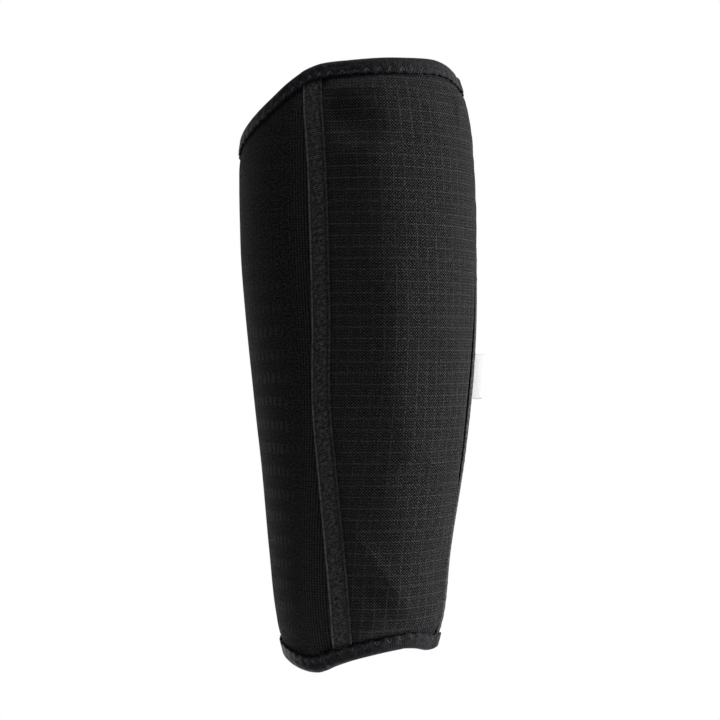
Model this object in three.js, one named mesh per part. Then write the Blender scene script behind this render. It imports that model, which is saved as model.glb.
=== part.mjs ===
// A pull-on shin pad: a padded ripstop front panel and a stretch-knit calf panel make one tapered
// sleeve. A woven tape covers each side seam, a folded elastic binding closes each end, and a blank
// ribbon label stands out of the outer seam.
// Millimetres, +Z up the leg, the shin faces -Y. The origin is on the leg's axis, halfway up the pad.
import * as THREE from "three";

const { clamp, degToRad, lerp, radToDeg, smoothstep } = THREE.MathUtils;

// Driving dimensions
const KNIT_THICK = 1.8;
const PAD_FLANGE_THICK = 2.2; // foam and cover pressed flat where they are sewn
const PAD_CROWN = 2.0; // how far the foam stands out of the sewn flange
const PAD_DEPTH = 3.2; // how far the foam stands in towards the shin
const PAD_EDGE_ROLL = 9; // distance over which the foam rises to its full height
const PAD_SEWN_MARGIN = 2.4; // flat flange that shows beyond the bindings
const TAPE_WIDTH = 10;
const TAPE_THICK = 0.9;
const BINDING_WIDTH = 7.8;
const BINDING_THICK = 0.9;
const LABEL_HEIGHT = 23;
const LABEL_REACH = 8.4;
const LABEL_THICK = 1.1;
const LABEL_FOLD_RADIUS = 0.8;
const LABEL_LEAN = 52; // degrees that the label leans out from the knit
const LABEL_LEVEL = 0.475; // share of the way up the seam
const END_GATHER = 1.2; // how far the elastic bindings draw the sleeve in
const END_GATHER_REACH = 18;
const BOTTOM_TILT = 2.1; // the bottom edge hangs lower on the inner side
const GAP = 0.3; // clearance between sewn layers
const FOLD_RADIUS = PAD_FLANGE_THICK / 2 + GAP + BINDING_THICK; // outside of a binding's fold

// Half sizes of the sleeve's outside, from the ankle up. Columns: z, height; side, half width;
// front and back, distance from the axis to the shin and calf; shift, sideways lean of the section.
const LEVELS = [
  { z: -156, side: 37.1, front: 38.1, back: 38.9, shift: -0.8 },
  { z: -141, side: 39.5, front: 40.9, back: 41.9, shift: -0.8 },
  { z: -120, side: 42.9, front: 44.5, back: 45.9, shift: -0.8 },
  { z: -94, side: 45.4, front: 47.0, back: 48.5, shift: -0.8 },
  { z: -43, side: 51.6, front: 53.5, back: 55.5, shift: 1.0 },
  { z: 9, side: 56.8, front: 58.9, back: 61.3, shift: 0.5 },
  { z: 60, side: 59.0, front: 61.1, back: 63.9, shift: -1.6 },
  { z: 111, side: 58.1, front: 60.2, back: 62.3, shift: -3.2 },
  { z: 135, side: 54.9, front: 56.9, back: 60.0, shift: -3.8 },
  { z: 152, side: 50.9, front: 53.9, back: 58.0, shift: -4.0 },
];

// Finished ends of the sleeve. Columns: turn, degrees round from the shin to either side;
// top and bottom, heights of the two edges.
const ENDS = [
  { turn: 0, top: 150.2, bottom: -139.5 },
  { turn: 18, top: 150.0, bottom: -140.5 },
  { turn: 38, top: 148.6, bottom: -143.0 },
  { turn: 53, top: 147.4, bottom: -146.2 },
  { turn: 61, top: 145.2, bottom: -148.5 },
  { turn: 70, top: 140.8, bottom: -150.1 },
  { turn: 85, top: 131.7, bottom: -149.8 },
  { turn: 111, top: 120.2, bottom: -147.2 },
  { turn: 140, top: 113.6, bottom: -145.4 },
  { turn: 180, top: 111.2, bottom: -144.6 },
];

// Seams between the front and calf panels. Columns: share, part of the way up; inner and outer,
// degrees round from the shin to the seam on each side.
const SEAMS = [
  { share: 0.0, inner: -46.8, outer: 45.4 },
  { share: 0.1, inner: -48.0, outer: 48.0 },
  { share: 0.2, inner: -50.5, outer: 49.4 },
  { share: 0.32, inner: -54.2, outer: 48.6 },
  { share: 0.44, inner: -56.3, outer: 46.6 },
  { share: 0.58, inner: -54.2, outer: 50.0 },
  { share: 0.72, inner: -53.2, outer: 55.0 },
  { share: 0.86, inner: -53.8, outer: 57.0 },
  { share: 1.0, inner: -57.2, outer: 56.0 },
];

// Soft hollows pressed into the front panel. Columns: turn, degrees, and z, the middle of the
// hollow; long and wide, its half sizes; tilt, degrees from level; deep, its depth.
const HOLLOWS = [
  { turn: -36, z: 121, long: 13, wide: 6.5, tilt: -16, deep: 1.3 },
  { turn: -30, z: 78, long: 20, wide: 10, tilt: 4, deep: 0.6 },
  { turn: -30, z: 22, long: 20, wide: 12, tilt: 0, deep: 0.5 },
  { turn: -22, z: -98, long: 20, wide: 6, tilt: -48, deep: 0.9 },
  { turn: -12, z: -118, long: 22, wide: 6, tilt: -40, deep: 0.9 },
];

// Mesh steps
const ROWS = 30;
const PAD_COLUMNS = 20;
const KNIT_COLUMNS = 28;
const TAPE_COLUMNS = 3;
const BINDING_STEPS = 72;
const BINDING_FOLD_STEPS = 4;
const LABEL_COLUMNS = 8;
const LABEL_ROWS = 6;

// One column of a table, read on a smooth curve through its rows.
function readTable(rows, key, column, at) {
  let row = 0;
  while (row < rows.length - 2 && at > rows[row + 1][key]) row += 1;
  const slope = (index) => {
    const before = rows[Math.max(index - 1, 0)];
    const after = rows[Math.min(index + 1, rows.length - 1)];
    return (after[column] - before[column]) / (after[key] - before[key]);
  };
  const low = rows[row];
  const high = rows[row + 1];
  const span = high[key] - low[key];
  const t = clamp((at - low[key]) / span, 0, 1);
  const ease = t * t * (3 - 2 * t);
  const leave = t * (1 - t) * (1 - t) * span * slope(row);
  const arrive = t * t * (1 - t) * span * slope(row + 1);
  return lerp(low[column], high[column], ease) + leave - arrive;
}

const level = (column, z) => readTable(LEVELS, "z", column, z);
const seam = (side, share) => degToRad(readTable(SEAMS, "share", side, share));

// Height of the finished "top" or "bottom" edge at a turn from the shin.
function edgeHeight(end, turn) {
  const wrapped = Math.atan2(Math.sin(turn), Math.cos(turn));
  const height = readTable(ENDS, "turn", end, Math.abs(radToDeg(wrapped)));
  return end === "bottom" ? height + BOTTOM_TILT * Math.sin(turn) : height;
}

// How far the nearer binding draws the sleeve in at a place.
function gather(turn, z) {
  const fromEnd = Math.min(edgeHeight("top", turn) - z, z - edgeHeight("bottom", turn));
  return END_GATHER * (1 - smoothstep(fromEnd, FOLD_RADIUS, END_GATHER_REACH));
}

// Half axes of the oval section at a turn and height.
function ovalAt(turn, z) {
  const depth = Math.cos(turn) > 0 ? level("front", z) : level("back", z);
  return { side: level("side", z), depth };
}

// A point on the sleeve, lifted outwards from the knit's outer face.
function sleevePoint(turn, z, lift) {
  const { side, depth } = ovalAt(turn, z);
  const outwards = new THREE.Vector3(Math.sin(turn) / side, -Math.cos(turn) / depth, 0).normalize();
  const point = new THREE.Vector3(side * Math.sin(turn), -depth * Math.cos(turn), z);
  point.x += level("shift", z);
  return point.addScaledVector(outwards, lift - gather(turn, z));
}

// Length of one radian of turn along the surface.
function arcPerTurn(turn, z) {
  const { side, depth } = ovalAt(turn, z);
  return Math.hypot(side * Math.cos(turn), depth * Math.sin(turn));
}

// Height at a share of the way up, between the fabric's own edges inside the bindings.
function heightAt(turn, share) {
  return lerp(edgeHeight("bottom", turn) + FOLD_RADIUS, edgeHeight("top", turn) - FOLD_RADIUS, share);
}

// The turn and height at a distance in from the finished edge, square to that edge.
function insetFromEdge(end, turn, inset) {
  const step = 0.01;
  const z = edgeHeight(end, turn);
  const arc = arcPerTurn(turn, z);
  const rise = (edgeHeight(end, turn + step) - edgeHeight(end, turn - step)) / (2 * step * arc);
  const into = (end === "top" ? -inset : inset) / Math.hypot(1, rise);
  return { turn: turn - (into * rise) / arc, z: z + into };
}

// A closed wall between an outer and an inner skin. skin(layer, u, v) gives a point, with layer 1
// outside and 0 inside; u runs across the wall to the right, seen from outside, and v upwards.
function wallGeometry(columns, rows, ring, skin) {
  const positions = [];
  const stride = ring ? columns : columns + 1;
  for (const layer of [0, 1])
    for (let row = 0; row <= rows; row += 1)
      for (let column = 0; column < stride; column += 1)
        positions.push(...skin(layer, column / columns, row / rows).toArray());

  const corner = (layer, column, row) => (layer * (rows + 1) + row) * stride + (column % stride);
  const faces = [];
  const quad = (a, b, c, d) => faces.push(a, b, c, a, c, d);
  for (let column = 0; column < columns; column += 1) {
    const next = column + 1;
    for (let row = 0; row < rows; row += 1) {
      const up = row + 1;
      quad(corner(1, column, row), corner(1, next, row), corner(1, next, up), corner(1, column, up));
      quad(corner(0, next, row), corner(0, column, row), corner(0, column, up), corner(0, next, up));
    }
    quad(corner(0, column, 0), corner(0, next, 0), corner(1, next, 0), corner(1, column, 0));
    quad(corner(1, column, rows), corner(1, next, rows), corner(0, next, rows), corner(0, column, rows));
  }
  if (!ring)
    for (let row = 0; row < rows; row += 1) {
      const up = row + 1;
      quad(corner(0, 0, row), corner(1, 0, row), corner(1, 0, up), corner(0, 0, up));
      quad(corner(1, columns, row), corner(0, columns, row), corner(0, columns, up), corner(1, columns, up));
    }
  const geometry = new THREE.BufferGeometry();
  geometry.setAttribute("position", new THREE.Float32BufferAttribute(positions, 3));
  geometry.setIndex(faces);
  geometry.computeVertexNormals();
  return geometry;
}

// Depth of the soft hollows at a place on the front panel.
function hollowDepth(turn, z) {
  let depth = 0;
  for (const hollow of HOLLOWS) {
    const across = (turn - degToRad(hollow.turn)) * arcPerTurn(turn, z);
    const up = z - hollow.z;
    const tilt = degToRad(hollow.tilt);
    const along = (across * Math.cos(tilt) + up * Math.sin(tilt)) / hollow.long;
    const athwart = (up * Math.cos(tilt) - across * Math.sin(tilt)) / hollow.wide;
    depth += hollow.deep * Math.exp(-along * along - athwart * athwart);
  }
  return depth;
}

// The padded front panel. The foam thins to a sewn flange under the tapes and bindings.
function frontPadGeometry() {
  return wallGeometry(PAD_COLUMNS, ROWS, false, (layer, u, share) => {
    const inner = seam("inner", share);
    const outer = seam("outer", share);
    // Columns crowd towards the seams, where the foam rolls up.
    const spread = lerp(u, (1 - Math.cos(Math.PI * u)) / 2, 0.6);
    const middle = lerp(inner, outer, spread);
    const z = heightAt(middle, share);
    const arc = arcPerTurn(middle, z);
    const turn = lerp(inner + GAP / 2 / arc, outer - GAP / 2 / arc, spread);
    const fromSeam = Math.min(turn - inner, outer - turn) * arc - TAPE_WIDTH / 2;
    const fromEnd = Math.min(edgeHeight("top", turn) - z, z - edgeHeight("bottom", turn));
    const flange = BINDING_WIDTH + PAD_SEWN_MARGIN;
    const foam =
      smoothstep(fromSeam, 0, PAD_EDGE_ROLL) * smoothstep(fromEnd, flange, flange + PAD_EDGE_ROLL);
    const lift = layer
      ? foam * (PAD_CROWN - hollowDepth(turn, z))
      : -PAD_FLANGE_THICK - foam * PAD_DEPTH;
    return sleevePoint(turn, z, lift);
  });
}

// The stretch-knit panel, round the calf from the outer seam to the inner one.
function calfPanelGeometry() {
  return wallGeometry(KNIT_COLUMNS, ROWS, false, (layer, u, share) => {
    const middle = lerp(seam("outer", share), seam("inner", share) + 2 * Math.PI, u);
    const arc = arcPerTurn(middle, heightAt(middle, share));
    const start = seam("outer", share) + GAP / 2 / arc;
    const end = seam("inner", share) + 2 * Math.PI - GAP / 2 / arc;
    const turn = lerp(start, end, u);
    return sleevePoint(turn, heightAt(turn, share), layer ? 0 : -KNIT_THICK);
  });
}

// A woven tape over one seam, its ends tucked under the bindings.
function seamTapeGeometry(side) {
  return wallGeometry(TAPE_COLUMNS, ROWS, false, (layer, u, share) => {
    const middle = seam(side, share);
    const z = heightAt(middle, share);
    const turn = middle + ((u - 0.5) * TAPE_WIDTH) / arcPerTurn(middle, z);
    return sleevePoint(turn, heightAt(turn, share), GAP + layer * TAPE_THICK);
  });
}

// How far a binding is lifted where it passes over a tape's end.
function tapeBump(end, turn) {
  const wrapped = Math.atan2(Math.sin(turn), Math.cos(turn));
  let bump = 0;
  for (const side of ["inner", "outer"]) {
    const middle = seam(side, end === "top" ? 1 : 0);
    const away = Math.abs(wrapped - middle) * arcPerTurn(middle, edgeHeight(end, middle));
    bump += 1 - smoothstep(away, TAPE_WIDTH / 2 + 4, TAPE_WIDTH / 2 + 10);
  }
  return bump * (TAPE_THICK + GAP);
}

// A strip folded over one end of the sleeve: up its outside, round the edge and down its inside.
function bindingGeometry(end) {
  const legSteps = 1;
  const pathSteps = 2 * legSteps + BINDING_FOLD_STEPS;
  const wall = PAD_FLANGE_THICK;
  return wallGeometry(BINDING_STEPS, pathSteps, true, (layer, u, v) => {
    const turn = 2 * Math.PI * u;
    const radius = FOLD_RADIUS - (1 - layer) * BINDING_THICK;
    // The top binding's path starts on the outside, and the bottom one's on the inside.
    const step = end === "top" ? v * pathSteps : (1 - v) * pathSteps;
    const bend = clamp((step - legSteps) / BINDING_FOLD_STEPS, 0, 1) * Math.PI;
    const fromLeg = Math.min(step, pathSteps - step) / legSteps;
    const leg = clamp(1 - fromLeg, 0, 1) * (BINDING_WIDTH - FOLD_RADIUS);
    const inset = FOLD_RADIUS + leg - radius * Math.sin(bend);
    const place = insetFromEdge(end, turn, inset);
    const outside = step < pathSteps / 2 ? tapeBump(end, turn) : 0;
    const lift = -wall / 2 + radius * Math.cos(bend) + outside * Math.max(Math.cos(bend), 0);
    return sleevePoint(place.turn, place.z, lift);
  });
}

// A ribbon folded in half, its raw ends at the outer tape's rear edge and its fold standing out.
function sideLabelGeometry() {
  const lean = degToRad(LABEL_LEAN);
  const seamHeight = heightAt(seam("outer", 1), 1) - heightAt(seam("outer", 0), 0);
  return wallGeometry(LABEL_COLUMNS, LABEL_ROWS, false, (layer, u, v) => {
    const share = LABEL_LEVEL + ((v - 0.5) * LABEL_HEIGHT) / seamHeight;
    const middle = seam("outer", share);
    const z = heightAt(middle, share);
    const root = TAPE_WIDTH / 2 + GAP + (LABEL_THICK / 2) * Math.sin(lean);
    const turn = middle + root / arcPerTurn(middle, z);
    const rearwards = new THREE.Vector3(Math.cos(turn), Math.sin(turn), 0);
    const outwards = new THREE.Vector3(Math.sin(turn), -Math.cos(turn), 0);
    // The two layers part a little where the ribbon turns back on itself.
    const swell = smoothstep(u, 0.6, 0.85) * (LABEL_FOLD_RADIUS - LABEL_THICK / 2);
    const half = u < 1 ? LABEL_THICK / 2 + swell : LABEL_FOLD_RADIUS / 2;
    const thick = layer ? half : -half;
    return sleevePoint(turn, z, GAP + (LABEL_THICK / 2) * Math.cos(lean))
      .addScaledVector(rearwards, u * LABEL_REACH * Math.cos(lean) - thick * Math.sin(lean))
      .addScaledVector(outwards, u * LABEL_REACH * Math.sin(lean) + thick * Math.cos(lean));
  });
}

const ripstop = new THREE.MeshStandardMaterial({ color: 0x1b1b1c, roughness: 0.62, metalness: 0 });
const knit = new THREE.MeshStandardMaterial({ color: 0x151516, roughness: 0.85, metalness: 0 });
const webbing = new THREE.MeshStandardMaterial({ color: 0x232324, roughness: 0.8, metalness: 0 });
const elastic = new THREE.MeshStandardMaterial({ color: 0x1a1a1f, roughness: 0.75, metalness: 0 });
const ribbon = new THREE.MeshStandardMaterial({ color: 0xf2f2f0, roughness: 0.6, metalness: 0 });

function namedMesh(name, geometry, material) {
  const mesh = new THREE.Mesh(geometry, material);
  mesh.name = name;
  return mesh;
}

const shinPad = new THREE.Group();
shinPad.add(
  namedMesh("front_pad", frontPadGeometry(), ripstop),
  namedMesh("calf_panel", calfPanelGeometry(), knit),
  namedMesh("inner_seam_tape", seamTapeGeometry("inner"), webbing),
  namedMesh("outer_seam_tape", seamTapeGeometry("outer"), webbing),
  namedMesh("top_binding", bindingGeometry("top"), elastic),
  namedMesh("bottom_binding", bindingGeometry("bottom"), elastic),
  namedMesh("side_label", sideLabelGeometry(), ribbon),
);

export default shinPad;
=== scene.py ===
"""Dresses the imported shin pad: a padded front, a knitted back, sewn tapes, bindings and a label.

Sizes are in millimetres and repeat those of the solids. Meshes are in metres, in the solids' own frame.
"""

import logging
import math
from collections.abc import Callable
from dataclasses import dataclass, field
from enum import Enum
from typing import Any

import bmesh
import bpy
from mathutils import Matrix, Vector, noise

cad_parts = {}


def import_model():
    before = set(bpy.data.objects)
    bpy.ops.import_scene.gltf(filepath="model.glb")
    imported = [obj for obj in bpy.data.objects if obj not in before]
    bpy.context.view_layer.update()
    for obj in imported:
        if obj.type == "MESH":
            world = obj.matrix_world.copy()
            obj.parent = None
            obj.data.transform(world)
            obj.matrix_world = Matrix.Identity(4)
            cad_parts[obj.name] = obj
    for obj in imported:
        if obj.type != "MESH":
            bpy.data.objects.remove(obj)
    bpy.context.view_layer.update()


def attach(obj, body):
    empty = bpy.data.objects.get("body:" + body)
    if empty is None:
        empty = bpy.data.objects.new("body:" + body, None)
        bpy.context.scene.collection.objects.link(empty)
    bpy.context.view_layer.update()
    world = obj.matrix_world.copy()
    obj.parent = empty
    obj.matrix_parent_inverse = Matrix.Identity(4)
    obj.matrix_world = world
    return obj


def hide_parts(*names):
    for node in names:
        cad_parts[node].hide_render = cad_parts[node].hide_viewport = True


log = logging.getLogger("shin_pad")

MM = 0.001
BODY = "root"
CLOTH_MAP = "cloth"

# Sizes that several pieces share.
SEWN_GAP = 0.3
HALF_TAPE = 5.0
BINDING_WIDTH = 7.8

Row = tuple[float, ...]
Place = Callable[[float, float], Vector]
Cut = Callable[[float, float], tuple[float, float]]

# Oval sections up the leg: height, half width, depth in front, depth behind, sideways shift.
LEVELS: tuple[Row, ...] = (
    (-156, 37.1, 38.1, 38.9, -0.8),
    (-141, 39.5, 40.9, 41.9, -0.8),
    (-120, 42.9, 44.5, 45.9, -0.8),
    (-94, 45.4, 47.0, 48.5, -0.8),
    (-43, 51.6, 53.5, 55.5, 1.0),
    (9, 56.8, 58.9, 61.3, 0.5),
    (60, 59.0, 61.1, 63.9, -1.6),
    (111, 58.1, 60.2, 62.3, -3.2),
    (135, 54.9, 56.9, 60.0, -3.8),
    (152, 50.9, 53.9, 58.0, -4.0),
)

# Finished ends: degrees round from the shin on either side, height of the top, height of the bottom.
ENDS: tuple[Row, ...] = (
    (0, 150.2, -139.5),
    (18, 150.0, -140.5),
    (38, 148.6, -143.0),
    (53, 147.4, -146.2),
    (61, 145.2, -148.5),
    (70, 140.8, -150.1),
    (85, 131.7, -149.8),
    (111, 120.2, -147.2),
    (140, 113.6, -145.4),
    (180, 111.2, -144.6),
)

# Soft waves in the finished ends: column of the end, degrees round, half width in degrees, rise.
WAVES: tuple[Row, ...] = (
    (1, 19, 24, 1.75),
    (2, 30, 18, -2.2),
    (2, 70, 16, 2.0),
)

# Seams: share of the way up, degrees from the shin to the inner seam, degrees to the outer seam.
SEAMS: tuple[Row, ...] = (
    (0.0, -46.8, 45.4),
    (0.1, -48.0, 48.0),
    (0.2, -50.5, 49.4),
    (0.32, -54.2, 48.6),
    (0.44, -56.3, 46.6),
    (0.58, -54.2, 50.0),
    (0.72, -53.2, 55.0),
    (0.86, -53.8, 57.0),
    (1.0, -57.2, 56.0),
)

# Soft hollows in the front panel, and ridges where the depth is negative: degrees round, height,
# half length, half width, tilt, depth.
HOLLOWS: tuple[Row, ...] = (
    (-41, 120, 15, 8, -25, 4.4),
    (-37, 104, 16, 7, 0, -1.8),
    (-30, 68, 22, 14, 4, 0.8),
    (-32, -2, 18, 12, 0, 0.7),
    (-33, -31, 14, 7, 0, 0.5),
    (-30, -107, 16, 5, -54, 2.6),
    (-28, -94, 25, 4.2, -54, -2.4),
    (-21, 20, 130, 12, 93.5, -1.6),
    (25.4, 126.5, 11, 2.2, 71.5, -1.2),
)


class Seam(Enum):
    """The two seams, by their column in the table of seams."""

    INNER = 1
    OUTER = 2


class End(Enum):
    """The two ends of the sleeve, by their column in the table of ends."""

    TOP = 1
    BOTTOM = 2


def smoothstep(value: float, low: float, high: float) -> float:
    """Eases from 0 at low to 1 at high."""
    t = min(max((value - low) / (high - low), 0.0), 1.0)
    return t * t * (3 - 2 * t)


def lerp(start: float, end: float, share: float) -> float:
    """The value a share of the way from start to end."""
    return start + (end - start) * share


def bell(offset: float) -> float:
    """A rounded bump of height 1 and half width 1."""
    return math.exp(-offset * offset)


def wrap(turn: float) -> float:
    """The same turn, between minus and plus half a circle."""
    return math.atan2(math.sin(turn), math.cos(turn))


def read_table(rows: tuple[Row, ...], column: int, at: float) -> float:
    """Reads one column of a table on a smooth curve through its rows.

    Args:
        rows: Rows in order of their first number.
        column: The column to read.
        at: Where to read it, in terms of the first column.

    Returns:
        The value there.
    """
    row = 0
    while row < len(rows) - 2 and at > rows[row + 1][0]:
        row += 1

    def slope(index: int) -> float:
        """How fast the column rises at one row."""
        before, after = rows[max(index - 1, 0)], rows[min(index + 1, len(rows) - 1)]
        return (after[column] - before[column]) / (after[0] - before[0])

    low, high = rows[row], rows[row + 1]
    span = high[0] - low[0]
    t = min(max((at - low[0]) / span, 0.0), 1.0)
    leave = t * (1 - t) ** 2 * span * slope(row)
    arrive = t * t * (1 - t) * span * slope(row + 1)
    return lerp(low[column], high[column], t * t * (3 - 2 * t)) + leave - arrive


def srgb(code: str) -> tuple[float, float, float, float]:
    """Turns an sRGB hex value into the linear colour that a shader takes."""
    parts = [int(code[i : i + 2], 16) / 255 for i in (1, 3, 5)]
    linear = [p / 12.92 if p <= 0.04045 else ((p + 0.055) / 1.055) ** 2.4 for p in parts]
    return (linear[0], linear[1], linear[2], 1.0)


@dataclass(frozen=True)
class LegForm:
    """The sleeve's shape, filled out as on a leg, which every piece is laid on."""

    end_gather: float = 1.2
    gather_reach: float = 18.0
    bottom_tilt: float = 2.1
    fold_radius: float = 2.3

    def level(self, column: int, z: float) -> float:
        """One size of the oval section at a height."""
        return read_table(LEVELS, column, z)

    def seam(self, side: Seam, share: float) -> float:
        """The turn, in radians, of a seam at a share of the way up."""
        return math.radians(read_table(SEAMS, side.value, share))

    def edge(self, end: End, turn: float) -> float:
        """The height of a finished end at a turn from the shin."""
        degrees = math.degrees(wrap(turn))
        height = read_table(ENDS, end.value, abs(degrees))
        for column, at, half, rise in WAVES:
            if column == end.value:
                height += rise * bell((degrees - at) / half)
        return height + self.bottom_tilt * math.sin(turn) if end is End.BOTTOM else height

    def from_end(self, turn: float, z: float) -> float:
        """The distance up or down to the nearer finished end."""
        return min(self.edge(End.TOP, turn) - z, z - self.edge(End.BOTTOM, turn))

    def height(self, turn: float, share: float) -> float:
        """The height at a share of the way up between the fabric's own edges."""
        low = self.edge(End.BOTTOM, turn) + self.fold_radius
        return lerp(low, self.edge(End.TOP, turn) - self.fold_radius, share)

    def oval(self, turn: float, z: float) -> tuple[float, float]:
        """The oval section's half width and depth on the side of a turn."""
        return self.level(1, z), self.level(2 if math.cos(turn) > 0 else 3, z)

    def outwards(self, turn: float, z: float) -> Vector:
        """The level direction that points straight out of the sleeve."""
        side, depth = self.oval(turn, z)
        return Vector((math.sin(turn) / side, -math.cos(turn) / depth, 0)).normalized()

    def arc(self, turn: float, z: float) -> float:
        """The length along the surface of one radian of turn."""
        side, depth = self.oval(turn, z)
        return math.hypot(side * math.cos(turn), depth * math.sin(turn))

    def point(self, turn: float, z: float, lift: float) -> Vector:
        """A point on the sleeve.

        Args:
            turn: Radians round from the shin.
            z: Height, in millimetres.
            lift: Distance out from the knit's outer face, in millimetres.

        Returns:
            The point, in metres.
        """
        side, depth = self.oval(turn, z)
        spot = Vector((side * math.sin(turn) + self.level(4, z), -depth * math.cos(turn), z))
        clear = smoothstep(self.from_end(turn, z), self.fold_radius, self.gather_reach)
        drawn = self.end_gather * (1 - clear)
        return (spot + self.outwards(turn, z) * (lift - drawn)) * MM

    def inset(self, end: End, turn: float, inset: float) -> tuple[float, float]:
        """The turn and height at a distance in from a finished end, square to it."""
        step = 0.01
        z = self.edge(end, turn)
        arc = self.arc(turn, z)
        rise = (self.edge(end, turn + step) - self.edge(end, turn - step)) / (2 * step * arc)
        into = (-inset if end is End.TOP else inset) / math.hypot(1, rise)
        return turn - into * rise / arc, z + into

    def ring(self, end: End, steps: int) -> tuple[list[float], float]:
        """Lengths along a finished end.

        Args:
            end: The end to go round.
            steps: How many steps to take.

        Returns:
            The length from turn 0 to each step, and the whole length, in millimetres.
        """
        turns = [i * math.tau / steps for i in range(steps + 1)]
        spots = [self.point(turn, self.edge(end, turn), 0) for turn in turns]
        lengths = [0.0]
        for before, after in zip(spots, spots[1:]):
            lengths.append(lengths[-1] + (after - before).length / MM)
        return lengths, lengths[-1]


FORM = LegForm()


def lay_cloth(
    mesh: bmesh.types.BMesh, columns: int, rows: int, place: Place, cut: Cut
) -> dict[bmesh.types.BMVert, tuple[float, float]]:
    """Lays a flat grid on the sleeve and keeps its place on the flat cloth as a UV map in metres.

    Args:
        mesh: The mesh to add it to.
        columns: Steps across.
        rows: Steps up.
        place: Gives the point for a share across and a share up.
        cut: Gives the place on the flat cloth for the same shares, in millimetres.

    Returns:
        The vertices it added, with their shares across and up.
    """
    layer = mesh.loops.layers.uv.verify() if mesh.loops.layers.uv else mesh.loops.layers.uv.new(CLOTH_MAP)
    made = bmesh.ops.create_grid(mesh, x_segments=columns, y_segments=rows, size=0.5)["verts"]
    shares = {vert: (vert.co.x + 0.5, vert.co.y + 0.5) for vert in made}
    for face in {face for vert in made for face in vert.link_faces}:
        for loop in face.loops:
            across, up = cut(*shares[loop.vert])
            loop[layer].uv = (across * MM, up * MM)
    for vert, (u, v) in shares.items():
        vert.co = place(u, v)
    return shares


def make_piece(name: str, mesh: bmesh.types.BMesh, material: bpy.types.Material) -> bpy.types.Object:
    """Turns a finished bmesh into an object at the origin, smooth and dressed.

    Args:
        name: The piece's name.
        mesh: The bmesh, which is freed.
        material: The finish it wears.

    Returns:
        The object.
    """
    data = bpy.data.meshes.new(name)
    mesh.to_mesh(data)
    mesh.free()
    data.shade_smooth()
    data.materials.append(material)
    piece = bpy.data.objects.new(name, data)
    bpy.context.scene.collection.objects.link(piece)
    return piece


def thicken(piece: bpy.types.Object, thick: float) -> None:
    """Gives a sheet its thickness, inwards from the face that shows."""
    wall = piece.modifiers.new("thickness", "SOLIDIFY")
    wall.thickness = thick * MM
    wall.offset = -1
    wall.use_even_offset = True


def settle(piece: bpy.types.Object, slot: str, *nodes: str) -> None:
    """Puts a piece on the part's body in the place of its solids.

    Args:
        piece: The piece.
        slot: The record's material slot; not used.
        nodes: The solids it stands for.
    """
    if nodes:
        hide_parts(*nodes)
    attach(piece, BODY)
    log.info("%s: %d faces", piece.name, len(piece.data.polygons))


class Board:
    """The node tree of one material or surround."""

    def __init__(self, holder: bpy.types.Material | bpy.types.World) -> None:
        """Starts an empty node tree."""
        holder.use_nodes = True
        self.holder = holder
        self.tree = holder.node_tree
        self.tree.nodes.clear()

    def add(self, kind: str, inputs: dict[int | str, Any] | None = None, **settings: Any) -> bpy.types.Node:
        """Adds a node with its settings and links.

        Args:
            kind: The node's type, without the common first part.
            inputs: Values, nodes or sockets for its inputs, by name or number.
            **settings: The node's own settings.

        Returns:
            The node.
        """
        node = self.tree.nodes.new("ShaderNode" + kind)
        for key, value in settings.items():
            setattr(node, key, value)
        for key, value in (inputs or {}).items():
            source = value.outputs[0] if isinstance(value, bpy.types.Node) else value
            if isinstance(source, bpy.types.NodeSocket):
                self.tree.links.new(source, node.inputs[key])
            else:
                node.inputs[key].default_value = source
        return node


def bands(pitch: float) -> float:
    """The scale that gives a wave texture one band in each pitch of so many millimetres."""
    return math.tau / 20 / (pitch * MM)


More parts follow.
